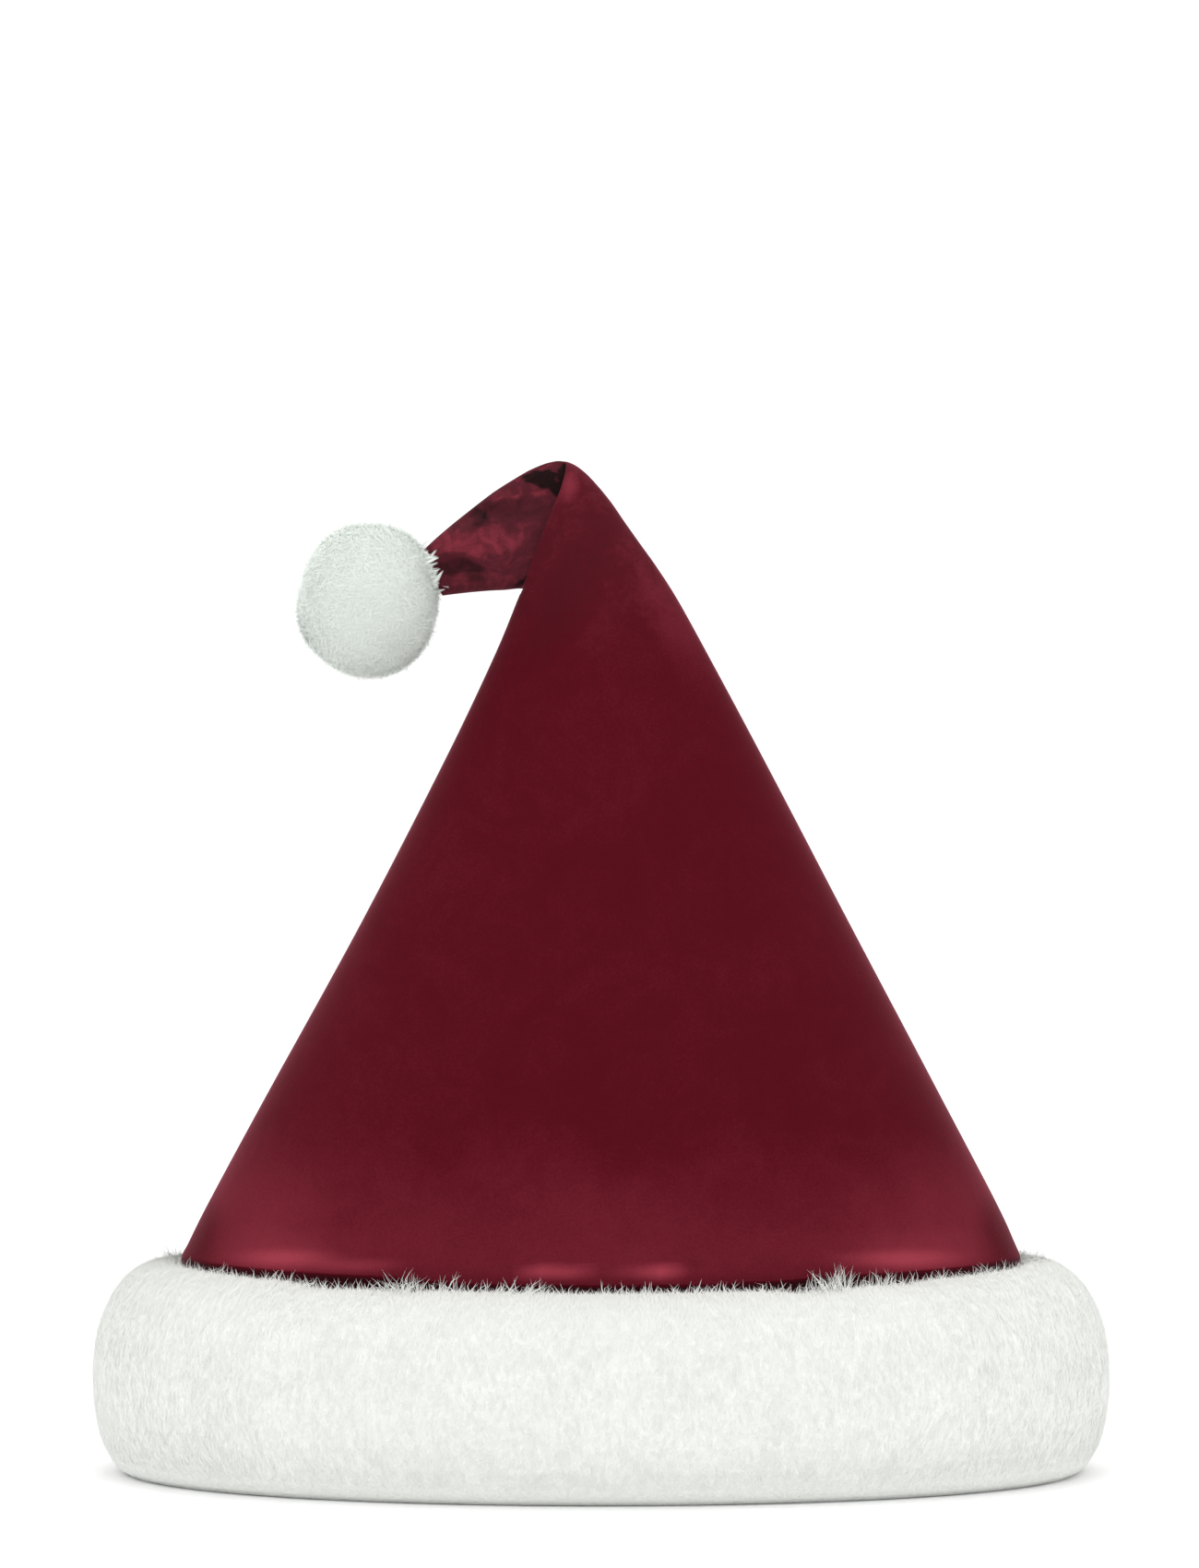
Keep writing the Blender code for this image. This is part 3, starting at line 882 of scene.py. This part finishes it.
# Where the long hairs of the upper edge stand up in tufts, in degrees round from +X. taller is the share
# by which they are longer, and way the degrees that they lean along the edge.
Tuft = namedtuple("Tuft", "around half_angle taller way")
TUFTS = (
    Tuft(243.0, 4.0, 0.9, 0),
    Tuft(250.0, 3.0, 0.5, 10),
    Tuft(259.0, 6.0, 0.45, 50),
    Tuft(302.0, 5.5, 0.9, -10),
    Tuft(310.0, 4.0, 0.4, 25),
    Tuft(226.0, 6.0, 0.15, -15),
    Tuft(332.0, 6.0, 0.15, 15),
    Tuft(60.0, 6.0, 0.6, 20),
    Tuft(96.0, 5.0, 0.5, -25),
    Tuft(131.0, 7.0, 0.7, 15),
    Tuft(170.0, 8.0, 0.3, 20),
)
TRIED = 4  # hairs tried for each that is wanted, so that more can be kept in the tufts
KEPT_BETWEEN = 0.35  # the share kept between the tufts
KEPT_IN_TUFTS = 0.65  # and how much more is kept in them
EDGE_ROOTS = (0.02, 0.065)  # the share of the profile where the hairs' roots start, and how far they go on
EDGE_SWAY = 0.6  # radians by which a hair's lean strays
MOST_SWAY = 1.2
EDGE_LEAN = (0.15, 0.2)  # how far the hairs lean away from the cone, and how far that strays
EDGE_CURL = 0.45  # how far a hair's end strays from its root


def edge_coats(form, settings, rng):
    """Long loose hairs that stand up from the crest against the velvet."""
    tried = settings.edge_hairs * TRIED
    turns = form.even_turns(0, 2 * pi)(rng.random(tried))
    around = np.degrees(turns) % 360
    taller = np.zeros(tried)
    way = np.zeros(tried)
    for t in TUFTS:
        share = bump(degrees_apart(around, t.around), t.half_angle)
        taller += t.taller * share
        way += np.radians(t.way) * share
    kept = np.flatnonzero(rng.random(tried) < KEPT_BETWEEN + KEPT_IN_TUFTS * taller)[:settings.edge_hairs]
    count = len(kept)
    turns, taller, way = turns[kept], taller[kept], way[kept]
    along = form.length * (EDGE_ROOTS[0] + EDGE_ROOTS[1] * rng.random(count) ** 1.5)
    roots, normals, ways_round, _ = form.at(turns, along, np.full(count, NAP_DEPTH))
    length = settings.hair * (0.3 + 0.55 * rng.random(count)) * (0.9 + taller)
    sway = np.clip(way + rng.normal(0.0, EDGE_SWAY, count), -MOST_SWAY, MOST_SWAY)
    side = np.cross(ways_round, np.array((0, 0, 1.0)))
    heading = ways_round * np.tan(sway)[:, None] + side * rng.normal(*EDGE_LEAN, count)[:, None]
    heading[:, 2] += 1.0
    heading = unit(heading)
    ends = unit(heading + EDGE_CURL * rng.normal(size=(count, 3)))
    widths = settings.hair_width * (1.1 + 0.7 * rng.random(count))
    soft = unit(normals + side * 0.8)
    return [(bent_hairs(roots, heading, ends, side, length, widths), soft)]


# The pompom

POMPOM_CENTRE = Vector((-66.2, 0.6, 248.3)) * MM
POMPOM_REACH = Vector((20.0, 19.8, 21.7)) * MM  # to the plush's outer form
HEAD_DEPTH = 0.5 * MM  # how far the head lies under it
PUFFS = 0.3  # how far the plush's puffs tilt its shading
PUFF_SCALE = 2.8  # about as many puffs to a radius
UNEVEN = 0.3  # how far the pompom is uneven all over, in millimetres
UNEVEN_SCALE = 1.9

# Lumps and flats of the pompom's outline, in degrees round it in the front view from +X, and in millimetres.
Lump = namedtuple("Lump", "around half_angle rise")
LUMPS = (
    Lump(48, 30, 0.9),
    Lump(200, 32, 0.9),
    Lump(163, 26, -0.8),
    Lump(300, 50, 0.35),
    Lump(346, 26, -0.8),
)
DROOP = np.array((-0.4, 0.0, -0.3))  # the way the pompom's plush tends to lie


def pompom_sizes(ways):
    """How much larger the pompom is in each direction, as a share."""
    around = np.degrees(np.arctan2(ways[:, 2], ways[:, 0]))
    flat = 1 - np.abs(ways[:, 1])
    lumps = sum(p.rise * bump(degrees_apart(around, p.around), p.half_angle) for p in LUMPS) * flat
    broad = np.array([noise.noise(Vector(way) * UNEVEN_SCALE + Vector((5, 1, 2))) for way in ways])
    return 1 + (lumps + broad * UNEVEN) * MM / POMPOM_REACH.x


def pompom_coats(settings, rng):
    """The nap and the loose hairs on the pompom, and the locks that lap over the tip's end."""
    centre = np.array(POMPOM_CENTRE)
    reach = np.array(POMPOM_REACH) - HEAD_DEPTH - ROOT_DEPTH
    coats = []
    for lie in POMPOM_LIES:
        count = settings.pompom_hairs if lie.loose else settings.pompom_nap
        ways = unit(rng.normal(size=(count, 3)))
        roots = centre + ways * reach * pompom_sizes(ways)[:, None]
        normals = unit(ways / reach)
        comb = rng.normal(size=(count, 3)) + DROOP
        comb = unit(comb - normals * np.sum(comb * normals, axis=1)[:, None])
        puffs = np.array([wander(Vector(way) * PUFF_SCALE) for way in ways])
        coats.append(grow(settings, rng, lie, roots, normals, normals + PUFFS * puffs, comb, 1.0))
    coats.append(tip_locks(settings, rng))
    return coats


TIP_WAY = np.array((0.916, 0.04, 0.398))  # from the pompom's middle towards the tip
TIP_SPREAD = (0.30, 0.34)  # how far from there the locks stand, up and down and to the front
LOCKS = 84
HAIRS_A_LOCK = 20
LOCK_STRAY = 0.28  # how far the locks' aims stray from the tip's way
LOCK_LENGTHS = (0.18, 0.55)  # the shortest lock, and how much longer others are, as shares of a loose hair
LOCK_RISE = 0.3 * MM
ROOT_STRAY = 0.42 * MM  # how wide a lock is at its root
END_STRAY = 0.16 * MM  # and at its point
LOCK_BEND = 0.25


def tip_locks(settings, rng):
    """Pointed locks round the tip's end that lap over the velvet."""
    spin = rng.random(LOCKS) * 2 * pi
    first = unit(np.cross(TIP_WAY, (0.0, 1.0, 0.0))[None, :])[0]
    second = np.cross(TIP_WAY, first)
    ring = first * np.cos(spin)[:, None] * TIP_SPREAD[0] + second * np.sin(spin)[:, None] * TIP_SPREAD[1]
    ways = unit(TIP_WAY + ring * (0.75 + 0.45 * rng.random(LOCKS))[:, None])
    reach = np.array(POMPOM_REACH) - HEAD_DEPTH
    bases = np.array(POMPOM_CENTRE) + ways * reach * pompom_sizes(ways)[:, None]
    normals = unit(ways / reach)
    aim = unit(TIP_WAY + LOCK_STRAY * rng.normal(size=(LOCKS, 3)))
    stretch = (LOCK_LENGTHS[0] + LOCK_LENGTHS[1] * rng.random(LOCKS) ** 2)[:, None]
    tops = bases + aim * settings.hair * stretch + normals * LOCK_RISE
    which = np.repeat(np.arange(LOCKS), HAIRS_A_LOCK)
    count = len(which)
    roots = bases[which] + rng.normal(size=(count, 3)) * ROOT_STRAY - normals[which] * ROOT_DEPTH * 2
    ends = tops[which] + rng.normal(size=(count, 3)) * END_STRAY
    reached = ends - roots
    length = np.linalg.norm(reached, axis=1)
    heading = unit(unit(reached) + normals[which] * LOCK_BEND)
    outward = unit(ring)[which]
    bent = unit(reached * 2 - heading * length[:, None])
    widths = settings.hair_width * (0.9 + 0.6 * rng.random(count))
    return bent_hairs(roots, heading, bent, outward, length, widths), outward


class SANTAHAT_OT_pompom(Operator):
    """Builds the pompom's head and grows its plush"""

    bl_idname = "santa_hat.pompom"
    bl_label = "Pompom"

    def execute(self, context):
        settings = context.scene.santa_hat
        rng = np.random.default_rng(23)
        bm = bmesh.new()
        bmesh.ops.create_icosphere(bm, subdivisions=5, radius=1.0)
        reach = POMPOM_REACH - Vector((1, 1, 1)) * HEAD_DEPTH
        sizes = pompom_sizes(np.array([vert.co for vert in bm.verts]))
        for vert, size in zip(bm.verts, sizes):
            vert.co = POMPOM_CENTRE + Vector(a * b for a, b in zip(vert.co, reach)) * float(size)
        head = swap_in(bm, "pompom_head", backing_material("pompom_backing", settings.pompom_plush))
        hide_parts("pompom")
        mesh = fur_mesh("pompom_plush", pompom_coats(settings, rng), rng)
        piece = new_object(mesh.name, mesh, plush_material("pompom_fibres", settings.pompom_plush))
        return {"FINISHED"}


# Materials


class Nodes:
    """Short ways to add nodes to a new material."""

    def __init__(self, name):
        self.material = bpy.data.materials.new(name)
        self.material.use_nodes = True
        self.tree = self.material.node_tree
        self.shader = self.tree.nodes["Principled BSDF"]

    def add(self, kind, **values):
        node = self.tree.nodes.new(kind)
        for name, value in values.items():
            setattr(node, name, value)
        return node

    def link(self, output, target):
        self.tree.links.new(output, target)

    def noise(self, coordinates, scale, detail=2.0, roughness=0.5, distortion=0.0):
        node = self.add("ShaderNodeTexNoise")
        node.inputs["Scale"].default_value = scale
        node.inputs["Detail"].default_value = detail
        node.inputs["Roughness"].default_value = roughness
        node.inputs["Distortion"].default_value = distortion
        self.link(coordinates, node.inputs["Vector"])
        return node.outputs["Fac"]

    def spread(self, value, low, high, to_low=0.0, to_high=1.0, kind="SMOOTHSTEP"):
        node = self.add("ShaderNodeMapRange", interpolation_type=kind)
        for name, number in zip(("From Min", "From Max", "To Min", "To Max"), (low, high, to_low, to_high)):
            node.inputs[name].default_value = number
        self.link(value, node.inputs["Value"])
        return node.outputs["Result"]

    def sum(self, first, second, operation="ADD"):
        node = self.add("ShaderNodeMath", operation=operation)
        for value, socket in zip((first, second), node.inputs):
            if isinstance(value, (int, float)):
                socket.default_value = value
            else:
                self.link(value, socket)
        return node.outputs[0]

    def mottle(self, coordinates, kind):
        """Noise that changes a tone up and down by up to kind.tone."""
        value = self.noise(coordinates, kind.scale, kind.detail, kind.roughness, kind.distortion)
        return self.spread(value, kind.low, kind.high, -kind.tone, kind.tone)

    def mix(self, share, low, high):
        node = self.add("ShaderNodeMix", data_type="RGBA")
        self.link(share, node.inputs["Factor"])
        for value, socket in zip((low, high), (node.inputs[6], node.inputs[7])):
            if isinstance(value, bpy.types.NodeSocket):
                self.link(value, socket)
            else:
                socket.default_value = (*value, 1.0)
        return node.outputs[2]

    def bump(self, height, distance, strength):
        node = self.add("ShaderNodeBump")
        node.inputs["Distance"].default_value = distance
        node.inputs["Strength"].default_value = strength
        self.link(height, node.inputs["Height"])
        self.link(node.outputs["Normal"], self.shader.inputs["Normal"])


# Unevenness of the velvet's tone: the noise's own values, the values of it that are the darkest and the
# lightest, and by how much they change the tone. CREASED shows only where the pile is crushed.
Mottle = namedtuple("Mottle", "scale detail roughness distortion low high tone")
BROAD = Mottle(24.0, 3.0, 0.55, 0.6, 0.3, 0.7, 0.03)
PATCHY = Mottle(75.0, 4.0, 0.62, 1.4, 0.35, 0.65, 0.016)
CREASED = Mottle(190.0, 5.0, 0.66, 1.1, 0.3, 0.7, 0.2)
GRAIN_SCALE = 1500.0
GRAIN_TONE = 0.06
GRAIN_DEPTH = 0.25 * MM
DULLED_SHARE = 0.45  # how far the tip's colour turns to the duller one


def velvet_material(settings):
    """Short-pile velvet: dark head on, light at the edges, lighter where the pile is brushed up and
    highlights are painted, darker where it is crushed and shade is painted.
    """
    made = Nodes("velvet")
    coordinates = made.add("ShaderNodeTexCoord").outputs["Object"]
    # the pile's tone, with its painted highlights, glow and shade
    tone = made.add("ShaderNodeAttribute", attribute_name=PILE_AND_LIGHT_TONE).outputs["Fac"]
    crush = made.add("ShaderNodeAttribute", attribute_name=PILE_CRUSH).outputs["Fac"]
    grain = made.noise(coordinates, scale=GRAIN_SCALE, detail=2.0, roughness=0.6)
    grains = made.spread(grain, 0.2, 0.8, -GRAIN_TONE, GRAIN_TONE)
    creases = made.sum(made.mottle(coordinates, CREASED), crush, "MULTIPLY")
    lie = made.sum(made.sum(made.mottle(coordinates, BROAD), made.mottle(coordinates, PATCHY)), creases)
    lie = made.sum(made.sum(lie, grains), tone)
    dulled = made.mix(made.sum(crush, DULLED_SHARE, "MULTIPLY"), settings.velvet, settings.velvet_dulled)
    # painted shade comes in with the crushed colour and painted highlights with the brushed colour
    dark = made.mix(made.spread(lie, -1.0, 0.0, kind="LINEAR"), settings.velvet_crushed_and_shaded, dulled)
    colour = made.mix(made.spread(lie, 0.0, 1.0, kind="LINEAR"), dark, settings.velvet_brushed_and_highlit)
    made.link(colour, made.shader.inputs["Base Color"])
    made.link(made.spread(grain, 0.2, 0.8, to_low=0.75, to_high=0.95), made.shader.inputs["Roughness"])
    made.shader.inputs["Specular IOR Level"].default_value = 0.08
    made.shader.inputs["Sheen Weight"].default_value = 0.3
    made.shader.inputs["Sheen Roughness"].default_value = 0.36
    made.shader.inputs["Sheen Tint"].default_value = (*settings.velvet_sheen, 1.0)
    made.bump(grain, distance=GRAIN_DEPTH, strength=0.35)
    return made.material


ROOT_SHADE = 0.97  # painted shade: a fibre's colour at its root, as a share
ROOT_REACH = 0.75  # how far up it the painted shade goes
WARM = (1.0, 0.985, 0.96)  # shares of the colour in the warmest fibres
WARM_SHARE = 0.4
BACKING_TONE = 0.93
BACKING_DEPTH = 0.6 * MM


def plush_material(name, colour):
    """Fibres with a little painted shade at the root and of slightly different tones, by their own map."""
    made = Nodes(name)
    place = made.add("ShaderNodeUVMap", uv_map=UV_NAME).outputs["UV"]
    apart = made.add("ShaderNodeSeparateXYZ")
    made.link(place, apart.inputs[0])
    column = made.add("ShaderNodeMath", operation="FLOOR")
    made.link(made.sum(apart.outputs["X"], TONES, "MULTIPLY"), column.inputs[0])
    tone = made.add("ShaderNodeTexWhiteNoise", noise_dimensions="1D")
    made.link(column.outputs[0], tone.inputs["W"])
    # painted shade deep in the plush, at the fibres' roots
    root = tuple(c * ROOT_SHADE for c in colour)
    warm = tuple(c * share for c, share in zip(colour, WARM))
    shade = made.mix(made.spread(apart.outputs["Y"], 0.0, ROOT_REACH), root, colour)
    strength = made.sum(tone.outputs["Value"], WARM_SHARE, "MULTIPLY")
    made.link(made.mix(strength, shade, warm), made.shader.inputs["Base Color"])
    made.shader.inputs["Roughness"].default_value = 0.85
    made.shader.inputs["Specular IOR Level"].default_value = 0.2
    made.shader.inputs["Sheen Weight"].default_value = 0.1
    return made.material


def backing_material(name, colour):
    """The dense nap that shows between the fibres."""
    made = Nodes(name)
    coordinates = made.add("ShaderNodeTexCoord").outputs["Object"]
    nap = made.noise(coordinates, scale=900.0, detail=3.0, roughness=0.6)
    dark = tuple(c * BACKING_TONE for c in colour)
    made.link(made.mix(made.spread(nap, 0.3, 0.7), dark, colour), made.shader.inputs["Base Color"])
    made.link(made.spread(nap, 0.3, 0.7, to_low=0.85, to_high=1.0), made.shader.inputs["Roughness"])
    made.bump(nap, distance=BACKING_DEPTH, strength=0.6)
    return made.material


def floor_material(settings):
    """Plain pale card."""
    made = Nodes("studio_floor")
    made.shader.inputs["Base Color"].default_value = (*settings.floor, 1.0)
    made.shader.inputs["Roughness"].default_value = 0.9
    made.shader.inputs["Specular IOR Level"].default_value = 0.1
    return made.material


# The stage

# Soft lamps: where they stand, the side of the square in metres, and their power in watts.
Lamp = namedtuple("Lamp", "name x y z size watts")
LAMPS = (
    Lamp("key", -0.9, -1.5, 1.6, 1.4, 4.4),
    Lamp("fill", 1.3, -1.4, 1.0, 1.4, 3.2),
    Lamp("top", 0.0, 0.2, 1.6, 1.0, 5.0),
)
AIM = Vector((0, 0, 0.13))
SKY = 1.09  # the strength of the white light from all round
FLOOR_HALF = 12.0


class SANTAHAT_OT_stage(Operator):
    """Sets the pale floor, the soft light and the camera"""

    bl_idname = "santa_hat.stage"
    bl_label = "Stage"

    def execute(self, context):
        settings = context.scene.santa_hat
        bm = bmesh.new()
        bmesh.ops.create_grid(bm, x_segments=1, y_segments=1, size=FLOOR_HALF)
        mesh = bpy.data.meshes.new("studio_floor")
        bm.to_mesh(mesh)
        bm.free()
        mesh.materials.append(floor_material(settings))
        floor = bpy.data.objects.new("studio_floor", mesh)
        context.scene.collection.objects.link(floor)
        for lamp in LAMPS:
            self.add_lamp(context, lamp)
        self.add_sky(context)
        self.add_camera(context)
        context.scene.view_settings.view_transform = "Standard"
        return {"FINISHED"}

    def add_lamp(self, context, lamp):
        light = bpy.data.lights.new(lamp.name, "AREA")
        light.shape = "SQUARE"
        light.size = lamp.size
        light.energy = lamp.watts
        holder = bpy.data.objects.new(lamp.name, light)
        holder.location = (lamp.x, lamp.y, lamp.z)
        holder.rotation_euler = (AIM - holder.location).to_track_quat("-Z", "Y").to_euler()
        context.scene.collection.objects.link(holder)

    def add_sky(self, context):
        world = bpy.data.worlds.new("studio")
        world.use_nodes = True
        sky = world.node_tree.nodes["Background"]
        sky.inputs["Color"].default_value = (1.0, 1.0, 1.0, 1.0)
        sky.inputs["Strength"].default_value = SKY
        context.scene.world = world

    def add_camera(self, context):
        focal_pixels = CAMERA_AWAY / PIXEL_AT_HAT
        floor_below = CAMERA_PITCH + atan2(FLOOR_PIXEL - PHOTO_TALL / 2, focal_pixels)
        camera = bpy.data.cameras.new("camera")
        camera.sensor_width = SENSOR
        camera.lens = SENSOR * focal_pixels / PHOTO_TALL
        holder = bpy.data.objects.new("camera", camera)
        away = CAMERA_AWAY * cos(CAMERA_PITCH)
        holder.location = (CAMERA_ASIDE, -away, away * tan(floor_below))
        holder.rotation_euler = (pi / 2 - CAMERA_PITCH, 0, 0)
        context.scene.collection.objects.link(holder)
        context.scene.camera = holder


class SANTAHAT_PT_build(Panel):
    """Lists the hat's sizes, colours and pieces"""

    bl_idname = "SANTAHAT_PT_build"
    bl_label = "Velvet Santa Hat"
    bl_space_type = "VIEW_3D"
    bl_region_type = "UI"
    bl_category = "Hat"

    def draw(self, context):
        settings = context.scene.santa_hat
        for name in HatSettings.__annotations__:
            self.layout.prop(settings, name)
        for piece in PIECES:
            self.layout.operator(piece.bl_idname)


PIECES = (SANTAHAT_OT_velvet_cone, SANTAHAT_OT_plush_band, SANTAHAT_OT_pompom, SANTAHAT_OT_stage)
CLASSES = (HatSettings, *PIECES, SANTAHAT_PT_build)


def register():
    for cls in CLASSES:
        bpy.utils.register_class(cls)
    bpy.types.Scene.santa_hat = PointerProperty(type=HatSettings)


def unregister():
    del bpy.types.Scene.santa_hat
    for cls in reversed(CLASSES):
        bpy.utils.unregister_class(cls)


def main():
    register()
    bpy.ops.santa_hat.velvet_cone()
    bpy.ops.santa_hat.plush_band()
    bpy.ops.santa_hat.pompom()
    bpy.ops.santa_hat.stage()


if __name__ == "__main__":
    main()
